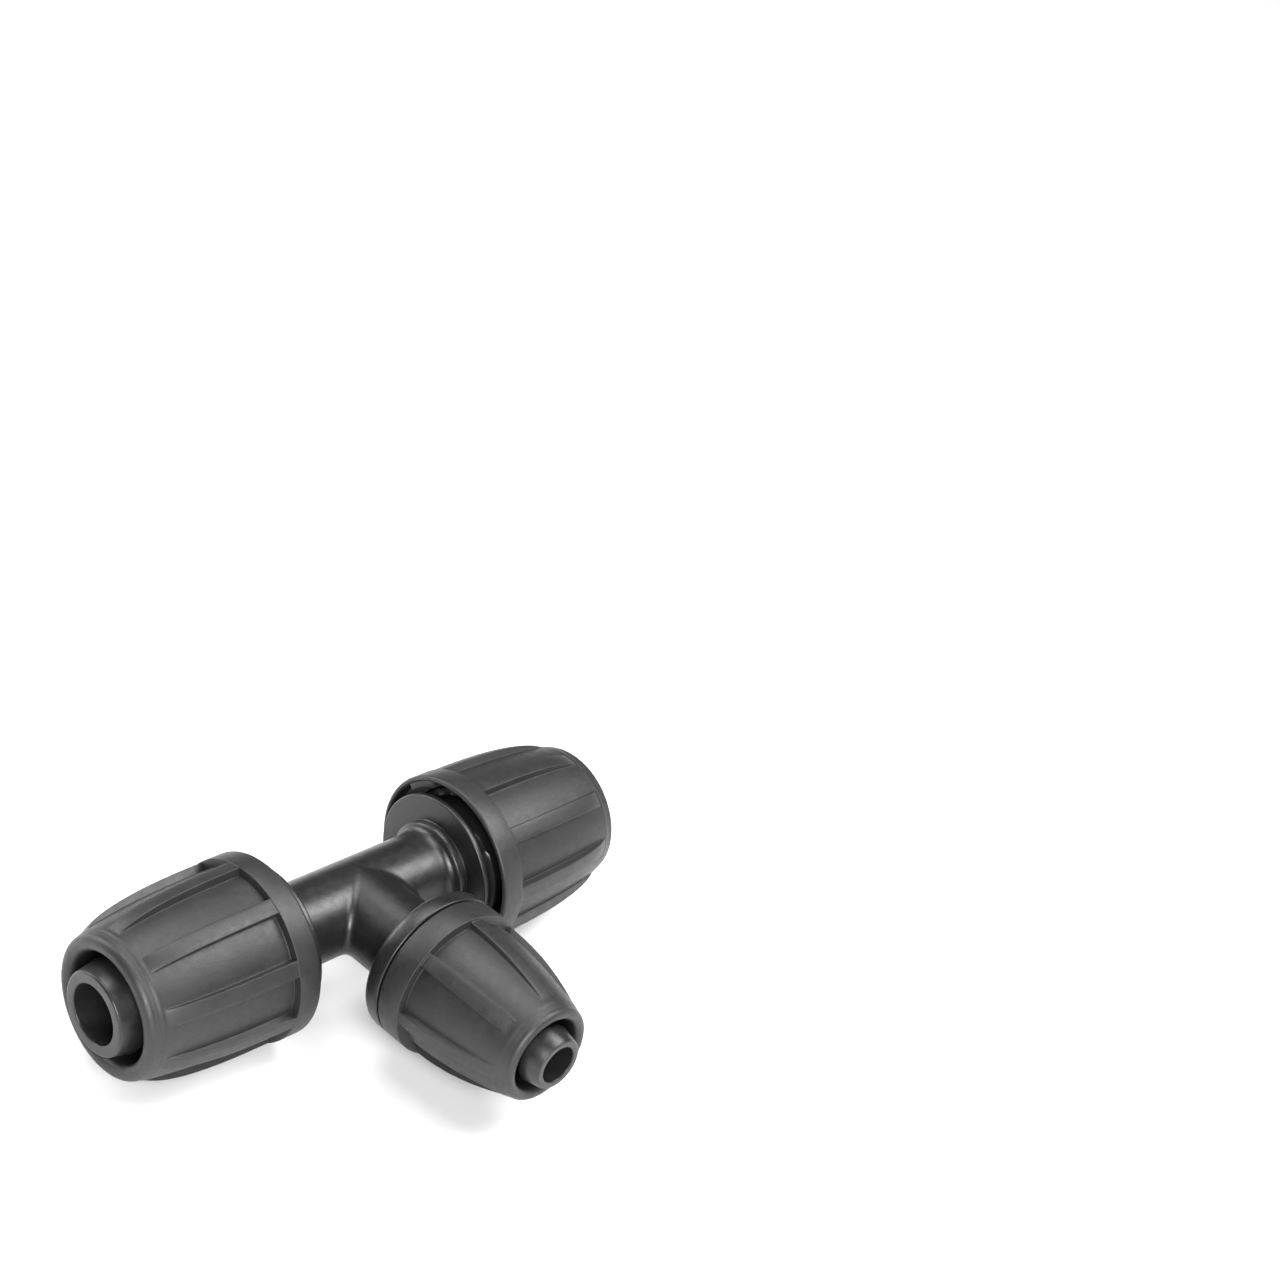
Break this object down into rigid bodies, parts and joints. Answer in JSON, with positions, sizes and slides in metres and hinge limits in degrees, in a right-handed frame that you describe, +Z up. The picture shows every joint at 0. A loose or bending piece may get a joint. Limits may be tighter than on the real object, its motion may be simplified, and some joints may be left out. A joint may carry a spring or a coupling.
{
  "type": "barbed tee connector",
  "caption": "Moulded black plastic reducing tee for irrigation pipe: barbed hose spigots on a straight run and a smaller side branch, each held by a ribbed screw-on lock nut.",
  "frame": {"origin": "under the middle of the bounding box, on the surface that the part lies on", "axes": "+X along the straight run, -Y along the smaller branch, +Z up out of the surface that the part lies on"},
  "size_m": [0.097, 0.0608, 0.0292],
  "materials": {
    "body": "smooth moulded black polypropylene, satin",
    "nut": "fine-textured moulded black polypropylene, semi-matte"
  },
  "bodies": {
    "tee": {"tee_body": "body"},
    "left_nut": {"lock_nut_left": "nut"},
    "right_nut": {"lock_nut_right": "nut"},
    "branch_nut": {"lock_nut_branch": "nut"}
  },
  "joints": [
    {"name": "left_nut_turn", "type": "hinge", "parent": "tee", "child": "left_nut", "pos_m": [0, 0.0158, 0.0146], "axis": [-1, 0, 0], "range_deg": [-90, 90]},
    {"name": "right_nut_turn", "type": "hinge", "parent": "tee", "child": "right_nut", "pos_m": [0, 0.0158, 0.0146], "axis": [1, 0, 0], "range_deg": [-90, 90]},
    {"name": "branch_nut_turn", "type": "hinge", "parent": "tee", "child": "branch_nut", "pos_m": [0, 0.0158, 0.0146], "axis": [0, -1, 0], "range_deg": [-90, 90]}
  ]
}
